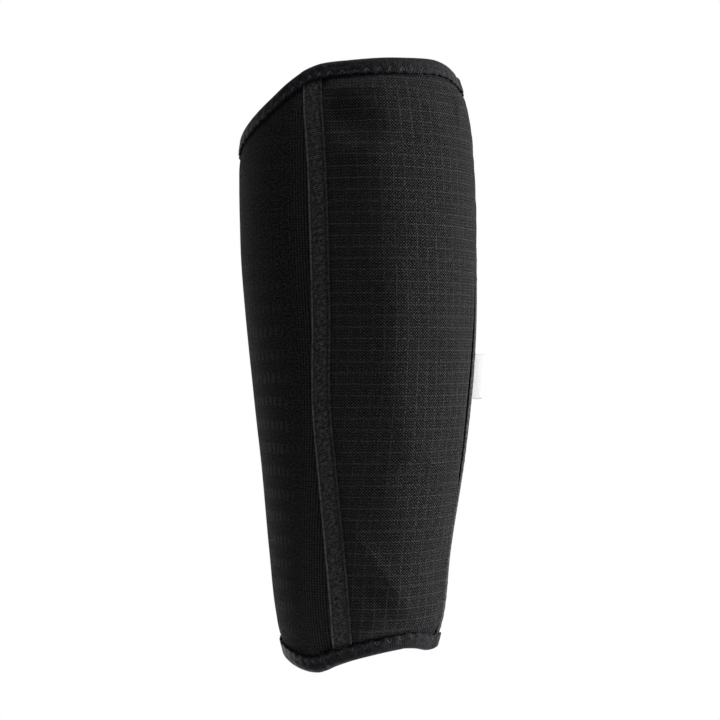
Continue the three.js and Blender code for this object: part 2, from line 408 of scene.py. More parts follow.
@dataclass(frozen=True)
class RipstopNylon:
    """Ripstop nylon: a matt plain weave whose thicker threads show as a fine raised grid."""

    ground: str = "#161617"
    float_thread: str = "#4a4a4c"
    rip_thread: str = "#616163"
    rip_pitch: float = 5.5
    # Such threads are about 0.3 mm apart, too fine to show, so their crossings are drawn
    # several times as coarse.
    thread_pitch: float = 1.45

    def dress(self) -> bpy.types.Material:
        """Makes the material."""
        board = Board(bpy.data.materials.new("ripstop_nylon"))
        cloth = board.add("UVMap", uv_map=CLOTH_MAP)
        fine = {
            "Vector": cloth,
            "Scale": bands(self.thread_pitch),
            "Distortion": 1.5,
            "Detail": 1.0,
            "Detail Scale": 2.2,
        }
        warp = board.add("TexWave", fine, bands_direction="X")
        weft = board.add("TexWave", fine, bands_direction="Y")
        off_warp = board.add("Math", {0: warp.outputs["Fac"], 1: 0.35}, operation="SUBTRACT")
        off_weft = board.add("Math", {0: weft.outputs["Fac"], 1: 0.5}, operation="SUBTRACT")
        crossing = board.add("Math", {0: off_warp, 1: off_weft}, operation="MULTIPLY")
        floats = board.add("MapRange", {0: crossing, 1: -0.05, 2: 0.2})
        coarse = {"Vector": cloth, "Scale": bands(self.rip_pitch), "Distortion": 0.5, "Detail Scale": 4.0}
        rip_warp = board.add("TexWave", coarse, bands_direction="X")
        rip_weft = board.add("TexWave", coarse, bands_direction="Y")
        place = board.add("SeparateXYZ", {0: cloth})
        # Painted highlight: the warp rip lines are painted stronger away from the inner seam, towards the
        # side the key light falls on, and also vary at random in patches.
        lit_side_warp = board.add("MapRange", {0: place.outputs["X"], 1: -34 * MM, 2: -18 * MM, 3: 0.2, 4: 0.65})
        patches = board.add("TexNoise", {"Vector": cloth, "Scale": 30.0})
        warp_highlight = board.add("MapRange", {0: patches.outputs[0], 1: 0.36, 2: 0.54, 3: 0.2, 4: lit_side_warp})
        line_warp = board.add("MapRange", {0: rip_warp.outputs["Fac"], 1: 0.955, 2: 0.997, 4: warp_highlight})
        line_weft = board.add("MapRange", {0: rip_weft.outputs["Fac"], 1: 0.972, 2: 0.999, 4: 0.75})
        grid = board.add("Math", {0: line_warp, 1: line_weft}, operation="MAXIMUM")
        floated = board.add("Mapping", {"Vector": cloth, "Scale": (0.6, 1.0, 1.0)})
        specks = board.add("TexNoise", {"Vector": floated, "Scale": 1100.0, "Detail": 1.0, "Roughness": 0.6})
        broken = board.add("MapRange", {0: specks.outputs[0], 1: 0.36, 2: 0.58, 3: 0.3, 4: 1.0})
        dots = board.add("MapRange", {0: floats, 3: 0.5, 4: 1.0})
        dotted = board.add("Math", {0: broken, 1: dots}, operation="MULTIPLY")
        rip = board.add("Math", {0: grid, 1: dotted}, operation="MULTIPLY")
        uneven = board.add("MapRange", {0: specks.outputs[0], 1: 0.34, 2: 0.66, 3: 0.45, 4: 1.4})
        lit = board.add("Math", {0: floats, 1: uneven}, operation="MULTIPLY")
        woven = board.add("Mix", {0: lit, 6: srgb(self.ground), 7: srgb(self.float_thread)}, data_type="RGBA")
        colour = board.add("Mix", {0: rip, 6: woven.outputs[2], 7: srgb(self.rip_thread)}, data_type="RGBA")
        relief = board.add("Math", {0: rip, 1: 0.8, 2: lit}, operation="MULTIPLY_ADD")
        bump = board.add("Bump", {"Strength": 1.0, "Distance": 0.3 * MM, "Height": relief})
        rough = board.add("MapRange", {0: lit, 3: 0.9, 4: 0.5})
        shader = board.add(
            "BsdfPrincipled",
            {
                "Base Color": colour.outputs[2],
                "Roughness": rough,
                "Normal": bump,
                "IOR": 1.5,
                "Specular IOR Level": 0.08,
            },
        )
        board.add("OutputMaterial", {"Surface": shader})
        return board.holder


@dataclass(frozen=True)
class StretchKnit:
    """Brushed stretch knit: soft and matt, ribbed by the seams and dimpled in bands over the calf."""

    ground: str = "#0a0a0b"
    loop: str = "#3e3e40"
    rib_pitch: float = 1.55
    course_pitch: float = 1.3
    band_pitch: float = 11.5
    dash_pitch: float = 4.0

    def dress(self) -> bpy.types.Material:
        """Makes the material."""
        board = Board(bpy.data.materials.new("stretch_knit"))
        cloth = board.add("UVMap", uv_map=CLOTH_MAP)
        place = board.add("SeparateXYZ", {0: cloth})
        out = board.add("Math", {0: place.outputs["X"]}, operation="ABSOLUTE")
        ribbed = board.add("MapRange", {0: out, 1: 101 * MM, 2: 108 * MM})
        ribs = board.add(
            "TexWave",
            {"Vector": cloth, "Scale": bands(self.rib_pitch), "Distortion": 0.5, "Detail Scale": 0.3},
        )
        courses = board.add(
            "TexWave",
            {"Vector": cloth, "Scale": bands(self.course_pitch), "Distortion": 1.5, "Detail Scale": 0.5},
            bands_direction="Y",
        )
        loops = board.add("Math", {0: ribs.outputs["Fac"], 1: courses.outputs["Fac"]}, operation="MULTIPLY")
        dashes = board.add(
            "TexWave",
            {"Vector": cloth, "Scale": bands(self.dash_pitch), "Distortion": 3.0, "Detail Scale": 1.6},
        )
        rows = board.add(
            "TexWave",
            {"Vector": cloth, "Scale": bands(self.band_pitch), "Distortion": 1.2, "Detail Scale": 1.0},
            bands_direction="Y",
        )
        slit = board.add("MapRange", {0: dashes.outputs["Fac"], 1: 0.3, 2: 0.8})
        band = board.add("MapRange", {0: rows.outputs["Fac"], 1: 0.45, 2: 0.85})
        low_down = board.add("MapRange", {0: place.outputs["Y"], 1: 60 * MM, 2: -20 * MM, 3: 0.1, 4: 0.8})
        inwards = board.add("MapRange", {0: out, 1: 84 * MM, 2: 100 * MM, 3: low_down, 4: 0.1})
        dimple = board.add("Math", {0: slit, 1: band}, operation="MULTIPLY")
        dimples = board.add("Math", {0: dimple, 1: inwards}, operation="MULTIPLY")
        crumb = board.add("TexNoise", {"Vector": cloth, "Scale": 900.0, "Detail": 3.0, "Roughness": 0.65})
        tufts = board.add("MapRange", {0: crumb.outputs[0], 1: 0.33, 2: 0.67, 4: 1.3})
        fuzz = board.add("Math", {0: tufts, 1: dimples}, operation="ADD")
        brushed = board.add("Math", {0: loops, 1: 0.35, 2: fuzz}, operation="MULTIPLY_ADD")
        ribbing = board.add("Math", {0: ribs.outputs["Fac"], 1: 0.5, 2: loops}, operation="MULTIPLY_ADD")
        rib_fuzz = board.add("Math", {0: tufts, 1: 0.7, 2: ribbing}, operation="MULTIPLY_ADD")
        relief = board.add("Mix", {0: ribbed, 2: brushed, 3: rib_fuzz})
        bump = board.add("Bump", {"Strength": 0.9, "Distance": 0.4 * MM, "Height": relief.outputs[0]})
        tone = board.add("MapRange", {0: relief.outputs[0], 1: 0.4, 2: 1.7})
        colour = board.add("Mix", {0: tone, 6: srgb(self.ground), 7: srgb(self.loop)}, data_type="RGBA")
        rough = board.add("MapRange", {0: crumb.outputs[0], 1: 0.3, 2: 0.7, 3: 0.75, 4: 0.9})
        shader = board.add(
            "BsdfPrincipled",
            {
                "Base Color": colour.outputs[2],
                "Roughness": rough,
                "Normal": bump,
                "IOR": 1.5,
                "Specular IOR Level": 0.08,
                "Sheen Weight": 0.02,
                "Sheen Roughness": 0.4,
            },
        )
        board.add("OutputMaterial", {"Surface": shader})
        return board.holder


@dataclass(frozen=True)
class WovenTape:
    """Woven polyester tape: fine ribs across it, with firm, paler selvedges; the left one also carries a
    painted highlight.
    """

    ground: str = "#0f0f10"
    rib: str = "#5a5a5c"
    # The selvedges' own paler colour, which also carries the painted highlight on the left selvedge.
    selvedge: str = "#666669"
    rib_pitch: float = 1.0
    half_width: float = HALF_TAPE

    def dress(self) -> bpy.types.Material:
        """Makes the material."""
        board = Board(bpy.data.materials.new("woven_tape"))
        cloth = board.add("UVMap", uv_map=CLOTH_MAP)
        place = board.add("SeparateXYZ", {0: cloth})
        out = board.add("Math", {0: place.outputs["X"]}, operation="ABSOLUTE")
        across, half = place.outputs["X"], self.half_width
        # The left selvedge is painted lighter and wider than the right one, a painted highlight where light
        # from the left falls on its rolled edge; the rest is the selvedges' own paler tone.
        left = board.add("MapRange", {0: across, 1: (1.5 - half) * MM, 2: (1.2 - half) * MM})
        right = board.add("MapRange", {0: across, 1: (half - 0.8) * MM, 2: (half - 0.4) * MM, 4: 0.6})
        edge = board.add("Math", {0: left, 1: right}, operation="MAXIMUM")
        # Painted shade: the tape is darkened towards its ground colour along each row of stitches, where the
        # groove lies in shade.
        sewn = board.add("MapRange", {0: out, 1: 2.5 * MM, 2: 3.1 * MM, 4: 0.5})
        ribs = board.add(
            "TexWave",
            {"Vector": cloth, "Scale": bands(self.rib_pitch), "Distortion": 0.7, "Detail Scale": 0.5},
            bands_direction="Y",
        )
        specks = board.add("TexNoise", {"Vector": cloth, "Scale": 620.0, "Detail": 3.0, "Roughness": 0.6})
        blots = board.add("MapRange", {0: specks.outputs[0], 1: 0.33, 2: 0.67, 4: 1.5})
        mottle = board.add("Math", {0: ribs.outputs["Fac"], 1: 1.0, 2: blots}, operation="MULTIPLY_ADD")
        tone = board.add("MapRange", {0: mottle, 1: 0.7, 2: 2.1})
        woven = board.add("Mix", {0: tone, 6: srgb(self.ground), 7: srgb(self.rib)}, data_type="RGBA")
        worn = board.add("MapRange", {0: blots, 3: 0.25, 4: 1.0})
        trim = board.add("Math", {0: edge, 1: worn}, operation="MULTIPLY")
        groove_shaded = board.add("Mix", {0: sewn, 6: woven.outputs[2], 7: srgb(self.ground)}, data_type="RGBA")
        colour = board.add("Mix", {0: trim, 6: groove_shaded.outputs[2], 7: srgb(self.selvedge)}, data_type="RGBA")
        bump = board.add("Bump", {"Strength": 0.8, "Distance": 0.3 * MM, "Height": mottle})
        rough = board.add("MapRange", {0: specks.outputs[0], 1: 0.3, 2: 0.7, 3: 0.55, 4: 0.75})
        shader = board.add(
            "BsdfPrincipled",
            {
                "Base Color": colour.outputs[2],
                "Roughness": rough,
                "Normal": bump,
                "IOR": 1.5,
                "Specular IOR Level": 0.12,
                "Sheen Weight": 0.02,
                "Sheen Roughness": 0.4,
            },
        )
        board.add("OutputMaterial", {"Surface": shader})
        return board.holder


@dataclass(frozen=True)
class FoldOverElastic:
    """Fold-over elastic: smooth, blue-black and finely knitted along its length, with a soft sheen."""

    ground: str = "#060608"
    yarn: str = "#23232a"
    yarn_pitch: float = 0.9

    def dress(self) -> bpy.types.Material:
        """Makes the material."""
        board = Board(bpy.data.materials.new("fold_over_elastic"))
        cloth = board.add("UVMap", uv_map=CLOTH_MAP)
        yarns = board.add(
            "TexWave",
            {"Vector": cloth, "Scale": bands(self.yarn_pitch), "Distortion": 1.2, "Detail Scale": 0.6},
        )
        specks = board.add("TexNoise", {"Vector": cloth, "Scale": 360.0, "Detail": 3.0})
        blots = board.add("MapRange", {0: specks.outputs[0], 1: 0.35, 2: 0.65, 4: 1.6})
        mottle = board.add("Math", {0: yarns.outputs["Fac"], 1: 0.5, 2: blots}, operation="MULTIPLY_ADD")
        tone = board.add("MapRange", {0: mottle, 1: 0.2, 2: 1.9})
        colour = board.add("Mix", {0: tone, 6: srgb(self.ground), 7: srgb(self.yarn)}, data_type="RGBA")
        bump = board.add("Bump", {"Strength": 0.8, "Distance": 0.3 * MM, "Height": mottle})
        rough = board.add("MapRange", {0: specks.outputs[0], 1: 0.3, 2: 0.7, 3: 0.5, 4: 0.68})
        shader = board.add(
            "BsdfPrincipled",
            {
                "Base Color": colour.outputs[2],
                "Roughness": rough,
                "Normal": bump,
                "IOR": 1.5,
                "Specular IOR Level": 0.15,
                "Sheen Weight": 0.03,
                "Sheen Roughness": 0.4,
            },
        )
        board.add("OutputMaterial", {"Surface": shader})
        return board.holder


@dataclass(frozen=True)
class SatinRibbon:
    """White satin ribbon: bright and smooth, with a fine cross rib and a faint grey in its folds."""

    ground: str = "#eeeeed"
    rib: str = "#e6e6e4"
    rib_pitch: float = 0.8

    def dress(self) -> bpy.types.Material:
        """Makes the material."""
        board = Board(bpy.data.materials.new("satin_ribbon"))
        cloth = board.add("UVMap", uv_map=CLOTH_MAP)
        ribs = board.add(
            "TexWave",
            {"Vector": cloth, "Scale": bands(self.rib_pitch), "Distortion": 0.4},
            bands_direction="Y",
        )
        colour = board.add(
            "Mix", {0: ribs.outputs["Fac"], 6: srgb(self.ground), 7: srgb(self.rib)}, data_type="RGBA"
        )
        bump = board.add("Bump", {"Strength": 0.25, "Distance": 0.1 * MM, "Height": ribs.outputs["Fac"]})
        shader = board.add(
            "BsdfPrincipled",
            {"Base Color": colour.outputs[2], "Roughness": 0.5, "Normal": bump, "IOR": 1.5},
        )
        board.add("OutputMaterial", {"Surface": shader})
        return board.holder


@dataclass(frozen=True)
class SpunThread:
    """Spun polyester thread: dark and slightly hairy, with paler strands where it stands up."""

    name: str
    ground: str = "#161617"
    strand: str = "#343436"

    def dress(self) -> bpy.types.Material:
        """Makes the material."""
        board = Board(bpy.data.materials.new(self.name))
        place = board.add("TexCoord")
        twist = board.add("TexNoise", {"Vector": place.outputs["Object"], "Scale": 2600.0, "Detail": 2.0})
        tone = board.add("MapRange", {0: twist.outputs[0], 1: 0.35, 2: 0.65})
        colour = board.add("Mix", {0: tone, 6: srgb(self.ground), 7: srgb(self.strand)}, data_type="RGBA")
        bump = board.add("Bump", {"Strength": 0.4, "Distance": 0.1 * MM, "Height": twist.outputs[0]})
        shader = board.add(
            "BsdfPrincipled",
            {
                "Base Color": colour.outputs[2],
                "Roughness": 0.5,
                "Normal": bump,
                "IOR": 1.5,
                "Sheen Weight": 0.1,
                "Sheen Roughness": 0.4,
            },
        )
        board.add("OutputMaterial", {"Surface": shader})
        return board.holder


@dataclass(frozen=True)
class Finishes:
    """The finishes that the pieces share."""

    ripstop: bpy.types.Material = field(default_factory=lambda: RipstopNylon().dress())
    knit: bpy.types.Material = field(default_factory=lambda: StretchKnit().dress())
    tape: bpy.types.Material = field(default_factory=lambda: WovenTape().dress())
    elastic: bpy.types.Material = field(default_factory=lambda: FoldOverElastic().dress())
    ribbon: bpy.types.Material = field(default_factory=lambda: SatinRibbon().dress())
    tape_thread: bpy.types.Material = field(default_factory=lambda: SpunThread("tape_thread").dress())
    # The bindings' stitches use the same dark thread as the tapes', painted paler as a painted highlight
    # where they catch the light.
    highlighted_binding_thread: bpy.types.Material = field(
        default_factory=lambda: SpunThread("highlighted_binding_thread", "#2e2e32", "#626268").dress()
    )


@dataclass
class FrontPad:
    """The padded front panel: ripstop over foam that thins to a sewn flange."""

    gap: float = SEWN_GAP
    flange: float = 2.2
    crown: float = 2.0
    depth: float = 3.2
    seam_roll: float = 5.5
    calf_roll: float = 12.0
    end_roll: float = 6.5
    half_tape: float = HALF_TAPE
    binding: float = BINDING_WIDTH
    columns: int = 56
    rows: int = 140
    # How far the columns crowd towards the seams, from 0 to 1.
    crowding: float = 0.6
    # Heights between which the outer roll widens, and narrows again.
    widens: tuple[float, float] = (-72, -48)
    narrows: tuple[float, float] = (50, 80)
    # Where the sewing pulls the cover down beside a tape or binding, over what half width, how deep.
    pull_at: float = 0.4
    pull_half: float = 0.9
    pull_depth: float = 0.3
    # Fullness of the foam at which the cover starts to be free, and is nearly free.
    freed: tuple[float, float] = (0.02, 0.6)
    swell_frames: int = 20
    swell_limit: float = 1.4

    def spot(self, u: float, v: float) -> tuple[float, float, float, float]:
        """A place on the panel.

        Args:
            u: Share across, from the inner seam.
            v: Share up.

        Returns:
            The turn, the height, how full the foam is there and how far the sewing pulls the cover down.
        """
        inner, outer = FORM.seam(Seam.INNER, v), FORM.seam(Seam.OUTER, v)
        spread = lerp(u, (1 - math.cos(math.pi * u)) / 2, self.crowding)
        arc = FORM.arc(lerp(inner, outer, spread), FORM.height(lerp(inner, outer, spread), v))
        turn = lerp(inner + self.gap / 2 / arc, outer - self.gap / 2 / arc, spread)
        z = FORM.height(turn, v)
        from_inner = (turn - inner) * arc - self.half_tape
        from_outer = (outer - turn) * arc - self.half_tape
        from_seam = min(from_inner, from_outer)
        from_end = FORM.from_end(turn, z)
        flat = smoothstep(z, *self.widens) * (1 - smoothstep(z, *self.narrows))
        outer_roll = lerp(self.seam_roll, self.calf_roll, flat)
        foam = smoothstep(from_inner, 0, self.seam_roll) * smoothstep(from_outer, 0, outer_roll)
        foam *= smoothstep(from_end, self.binding, self.binding + self.end_roll)
        beside_tape = bell((from_seam - self.pull_at) / self.pull_half)
        beside_binding = bell((from_end - self.binding - self.pull_at) / self.pull_half)
        return turn, z, foam, max(beside_tape, beside_binding)

    def hollow(self, u: float, v: float) -> Vector:
        """How far the soft hollows press a point of the cover in."""
        turn, z, foam, _ = self.spot(u, v)
        deep = 0.0
        for round_, height, long, wide, tilt, depth in HOLLOWS:
            across = (turn - math.radians(round_)) * FORM.arc(turn, z)
            lean, up = math.radians(tilt), z - height
            along = (across * math.cos(lean) + up * math.sin(lean)) / long
            athwart = (up * math.cos(lean) - across * math.sin(lean)) / wide
            deep += depth * bell(along) * bell(athwart)
        return FORM.outwards(turn, z) * -deep * foam * MM

    def outside(self, u: float, v: float) -> Vector:
        """A point of the face that shows."""
        turn, z, foam, pull = self.spot(u, v)
        return FORM.point(turn, z, foam * self.crown - self.pull_depth * pull)

    def inside(self, u: float, v: float) -> Vector:
        """A point of the face against the leg."""
        turn, z, foam, _ = self.spot(u, v)
        return FORM.point(turn, z, -self.flange - foam * self.depth)

    def cut(self, u: float, v: float) -> tuple[float, float]:
        """The place on the flat cloth, measured from the middle of the shin."""
        turn, z, _, _ = self.spot(u, v)
        return turn * FORM.arc(turn / 2, z), z

    def swell(self, piece: bpy.types.Object) -> None:
        """Lets the slightly loose cover settle over the foam as cloth, and keeps the shape it takes."""
        before = [vert.co.copy() for vert in piece.data.vertices]
        cloth = piece.modifiers.new("swell", "CLOTH")
        rules = cloth.settings
        rules.quality = 6
        rules.vertex_group_mass = "sewn"
        rules.tension_stiffness = rules.compression_stiffness = 25
        rules.shear_stiffness = 10
        rules.bending_stiffness = 1.5
        rules.use_pressure = True
        rules.uniform_pressure_force = 2.5
        rules.shrink_min = rules.shrink_max = -0.006
        rules.effector_weights.gravity = 0
        cloth.collision_settings.use_collision = False
        scene = bpy.context.scene
        for frame in range(1, self.swell_frames + 1):
            scene.frame_set(frame)
        settled = piece.evaluated_get(bpy.context.evaluated_depsgraph_get()).data
        moves = [after.co - start for after, start in zip(settled.vertices, before)]
        piece.modifiers.remove(cloth)
        scene.frame_set(1)
        for vert, start, move in zip(piece.data.vertices, before, moves):
            vert.co = start + move / (1 + move.length / MM / self.swell_limit)
        log.info("cover settled by up to %.2f mm", max(move.length for move in moves) / MM)

    def build(self, finish: bpy.types.Material) -> bpy.types.Object:
        """Makes the pad as one closed form."""
        mesh = bmesh.new()
        weights = mesh.verts.layers.deform.verify()
        cover = lay_cloth(mesh, self.columns, self.rows, self.outside, self.cut)
        lining = lay_cloth(mesh, self.columns, self.rows, self.inside, self.cut)
        for vert, (u, v) in cover.items():
            vert[weights][0] = 1 - smoothstep(self.spot(u, v)[2], *self.freed)
        for vert in lining:
            vert[weights][0] = 1
        mesh.verts.index_update()
        hollows = {vert.index: self.hollow(u, v) for vert, (u, v) in cover.items()}
        bmesh.ops.bridge_loops(mesh, edges=[edge for edge in mesh.edges if edge.is_boundary])
        bmesh.ops.recalc_face_normals(mesh, faces=mesh.faces)
        piece = make_piece("front_pad_cover", mesh, finish)
        piece.vertex_groups.new(name="sewn")
        self.swell(piece)
        for index, press in hollows.items():
            piece.data.vertices[index].co += press
        smooth = piece.modifiers.new("rounding", "SUBSURF")
        smooth.levels = smooth.render_levels = 1
        settle(piece, "ripstop", "front_pad")
        return piece


@dataclass
class CalfPanel:
    """The stretch knit that goes round the calf from seam to seam."""

    gap: float = SEWN_GAP
    thick: float = 1.8
    columns: int = 120
    rows: int = 112
    crowding: float = 0.7
    # The ribbed strips start this far across the relaxed knit, and at these degrees from the shin.
    rib_line: float = 105.0
    rib_turn_calf: float = 65.2
    rib_turn_ankle: float = 75.5
    # Depths below the middle between which the one passes into the other.
    rib_turn_over: tuple[float, float] = (-10, 130)
    # The cloth sways by so much, over so long, where it is free of the tapes and the bindings.
    sway: float = 0.35
    sway_length: float = 34.0
    free_of_tape: tuple[float, float] = (2, 20)
    free_of_end: tuple[float, float] = (9, 24)
    # Where the sewing pulls the knit down beside a tape and a binding, over what half width, how deep.
    tape_pull_at: float = 0.5
    end_pull_at: float = 0.6
    pull_half: float = 1.1
    pull_depth: float = 0.5
    # The relaxed knit: the radius that it would lie round, and its length in metres.
    relaxed_radius: float = 62.0
    flat_length: float = 0.294
    width_steps: int = 20
    half_tape: float = HALF_TAPE
    binding: float = BINDING_WIDTH

    def spot(self, u: float, v: float) -> tuple[float, float]:
        """The turn and height at a share across, from the outer seam, and a share up."""
        outer, inner = FORM.seam(Seam.OUTER, v), FORM.seam(Seam.INNER, v) + math.tau
        spread = lerp(u, (1 - math.cos(math.pi * u)) / 2, self.crowding)
        middle = lerp(outer, inner, spread)
        trim = self.gap / 2 / FORM.arc(middle, FORM.height(middle, v))
        turn = lerp(outer + trim, inner - trim, spread)
        return turn, FORM.height(turn, v)

    def outside(self, u: float, v: float) -> Vector:
        """A point of the face that shows, which sways a little as stretched cloth does."""
        turn, z = self.spot(u, v)
        spot = FORM.point(turn, z, 0)
        outer, inner = FORM.seam(Seam.OUTER, v), FORM.seam(Seam.INNER, v) + math.tau
        from_tape = min(turn - outer, inner - turn) * FORM.arc(turn, z) - self.half_tape
        from_end = FORM.from_end(turn, z)
        free = smoothstep(from_tape, *self.free_of_tape) * smoothstep(from_end, *self.free_of_end)
        sway = (noise.noise(spot / (self.sway_length * MM)) - 1) * self.sway * free
        beside_tape = bell((from_tape - self.tape_pull_at) / self.pull_half)
        beside_binding = bell((from_end - self.binding - self.end_pull_at) / self.pull_half)
        return FORM.point(turn, z, sway - self.pull_depth * max(beside_tape, beside_binding))

    def cut(self, u: float, v: float) -> tuple[float, float]:
        """The place on the relaxed knit, measured from the middle of the calf.

        The same number of ribs goes round the calf and the ankle, so the cloth is stretched less lower down.
        """
        turn, z = self.spot(u, v)
        low_down = smoothstep(-z, *self.rib_turn_over)
        limit = math.radians(180 - lerp(self.rib_turn_calf, self.rib_turn_ankle, low_down))
        from_back = turn - math.pi
        beyond = max(abs(from_back) - limit, 0) * FORM.arc(turn, z)
        across = self.rib_line * min(abs(from_back) / limit, 1) + beyond
        return math.copysign(across, from_back), z

    def build(self, finish: bpy.types.Material) -> bpy.types.Object:
        """Makes the panel as a sheet with the knit's thickness."""
        mesh = bmesh.new()
        lay_cloth(mesh, self.columns, self.rows, self.outside, self.cut)
        area = sum(face.calc_area() for face in mesh.faces)
        shares = [step / self.width_steps for step in range(self.width_steps + 1)]
        width = max(FORM.seam(Seam.INNER, v) + math.tau - FORM.seam(Seam.OUTER, v) for v in shares)
        piece = make_piece("calf_panel_knit", mesh, finish)
        thicken(piece, self.thick)
        settle(piece, "knit", "calf_panel")
        return piece


@dataclass
class SeamTape:
    """A woven tape over one seam, with raised selvedges and a row of stitches inside each."""

    side: Seam
    width: float = 2 * HALF_TAPE
    thick: float = 0.9
    gap: float = SEWN_GAP
    stitch_row: float = 3.0
    length: float = 290.0
    # The raised selvedge: height, distance out, half width, and how often its lumps come.
    bead: float = 0.3
    bead_at: float = 4.1
    bead_half: float = 0.5
    lumps: float = 115.0
    # The groove along each row of stitches, and the crown between them.
    groove: float = 0.25
    groove_half: float = 0.5
    crown: float = 0.15
    crown_edge: tuple[float, float] = (0.5, 2.6)
    # The rounded lip: how far it drops, over what distances out, and the wall's share of thickness there.
    lip: float = 0.72
    lip_edge: tuple[float, float] = (4.3, 5.0)
    thin_edge: tuple[float, float] = (4.2, 4.9)
    thin_share: float = 0.2
    columns: int = 30
    rows: int = 300

    def spot(self, across: float, share: float) -> tuple[float, float]:
        """The turn and height at a distance across from the seam and a share up."""
        middle = FORM.seam(self.side, share)
        turn = middle + across / FORM.arc(middle, FORM.height(middle, share))
        return turn, FORM.height(turn, share)

    def relief(self, across: float, share: float) -> float:
        """How far the face stands off its mean height: uneven selvedges, grooves and a soft crown."""
        out = abs(across)
        place = Vector((share * self.lumps, math.copysign(3, across), self.side.value))
        lump = 0.6 + 0.8 * noise.noise(place)
        bead = self.bead * lump * bell((out - self.bead_at) / self.bead_half)
        groove = -self.groove * bell((out - self.stitch_row) / self.groove_half)
        crown = self.crown * (1 - smoothstep(out, *self.crown_edge))
        lip = -self.lip * smoothstep(out, *self.lip_edge)
        return bead + groove + crown + lip

    def outside(self, u: float, v: float) -> Vector:
        """A point of the face that shows."""
        across = (u - 0.5) * self.width
        turn, z = self.spot(across, v)
        return FORM.point(turn, z, self.gap + self.thick + self.relief(across, v))

    def cut(self, u: float, v: float) -> tuple[float, float]:
        """The place on the flat tape."""
        return (u - 0.5) * self.width, v * self.length

    def build(self, finish: bpy.types.Material) -> bpy.types.Object:
        """Makes the tape with its thickness."""
        mesh = bmesh.new()
        weights = mesh.verts.layers.deform.verify()
        laid = lay_cloth(mesh, self.columns, self.rows, self.outside, self.cut)
        for vert, (u, _) in laid.items():
            thinned = smoothstep(abs(u - 0.5) * self.width, *self.thin_edge)
            vert[weights][0] = lerp(1, self.thin_share, thinned)
        name = f"{self.side.name.lower()}_seam_tape"
        piece = make_piece(f"{name}_woven", mesh, finish)
        thicken(piece, self.thick)
        piece.modifiers["thickness"].vertex_group = piece.vertex_groups.new(name="body").name
        settle(piece, "webbing", name)
        return piece


@dataclass
class EdgeBinding:
    """A strip of elastic folded over one end of the sleeve."""

    end: End
    width: float = BINDING_WIDTH
    thick: float = 0.9
    wall: float = 2.2
    tape_lift: float = 1.2
    half_tape: float = HALF_TAPE
    stitch_pitch: float = 5.7
    flat_width: float = 18.2
    # How far past a tape's edge the strip starts to come down, and is down.
    tape_clear: tuple[float, float] = (0.2, 4.0)
    # Shares of the fold over which the outer leg's unevenness dies out.
    fold_fade: tuple[float, float] = (0.1, 0.5)
    # The pucker at each stitch: height, distance in from the raw edge, half width.
    pucker: float = 0.22
    pucker_in: float = 2.2
    pucker_half: float = 2.0
    # The raw edge: a scallop at each stitch, a ragged line and its grain, and how far in they reach.
    scallop: float = 0.35
    ragged: float = 0.5
    fray: float = 1.8
    raw_reach: float = 2.0
    steps: int = 320
    path_steps: int = 22

    def __post_init__(self) -> None:
        """Measures the way round the end."""
        self.lengths, self.round = FORM.ring(self.end, self.steps)
        self.stitches = round(self.round / self.stitch_pitch)

    def tape_bump(self, turn: float) -> float:
        """How far the strip is lifted where it passes over a tape."""
        start, end = self.tape_clear
        bump = 0.0
        for side in Seam:
            middle = FORM.seam(side, 1 if self.end is End.TOP else 0)
            away = abs(wrap(turn - middle)) * FORM.arc(middle, FORM.edge(self.end, middle))
            bump += 1 - smoothstep(away, self.half_tape + start, self.half_tape + end)
        return bump * self.tape_lift

    def along(self, u: float) -> float:
        """The length round the end at a share of the turn, in millimetres."""
        step = min(int(u * self.steps), self.steps - 1)
        return lerp(self.lengths[step], self.lengths[step + 1], u * self.steps - step)

    def path(self, v: float) -> tuple[float, float, float]:
        """The strip's cross section.

        Args:
            v: Share along the section, from the outside leg's raw edge.

        Returns:
            The distance in from the finished end, the lift, and the share of the fold passed.
        """
        radius = FORM.fold_radius
        leg = self.width - radius
        length = v * (2 * leg + math.pi * radius)
        bend = min(max((length - leg) / radius, 0), math.pi)
        flat = max(leg - length, length - leg - math.pi * radius, 0)
        inset = radius + flat - radius * math.sin(bend)
        return inset, -self.wall / 2 + radius * math.cos(bend), bend / math.pi

    def face(self, u: float, v: float) -> Vector:
        """A point of the strip's outer face."""
        turn = math.tau * u
        share = v if self.end is End.TOP else 1 - v
        inset, lift, fold = self.path(share)
        outer = 1 - smoothstep(fold, *self.fold_fade)
        beat = math.cos(math.tau * self.along(u) / self.round * self.stitches)
        pucker = self.pucker * beat * outer * bell((inset - self.width + self.pucker_in) / self.pucker_half)
        around = Vector((math.cos(turn), math.sin(turn), self.end.value))
        fray = noise.noise(around * (self.round / math.tau / self.fray))
        raw = self.scallop * beat + self.ragged * fray
        uneven = raw * outer * smoothstep(inset, self.width - self.raw_reach, self.width)
        lift += self.tape_bump(turn) * outer + pucker
        place = FORM.inset(self.end, turn, inset + uneven)
        return FORM.point(*place, lift)

    def cut(self, u: float, v: float) -> tuple[float, float]:
        """The place on the flat strip."""
        return self.along(u), v * self.flat_width

    def build(self, finish: bpy.types.Material) -> bpy.types.Object:
        """Makes the strip as a closed ring with its thickness."""
        mesh = bmesh.new()
        lay_cloth(mesh, self.steps, self.path_steps, self.face, self.cut)
        bmesh.ops.remove_doubles(mesh, verts=mesh.verts, dist=0.01 * MM)
        name = f"{self.end.name.lower()}_binding"
        piece = make_piece(f"{name}_elastic", mesh, finish)
        thicken(piece, self.thick)
        settle(piece, "elastic", name)
        return piece


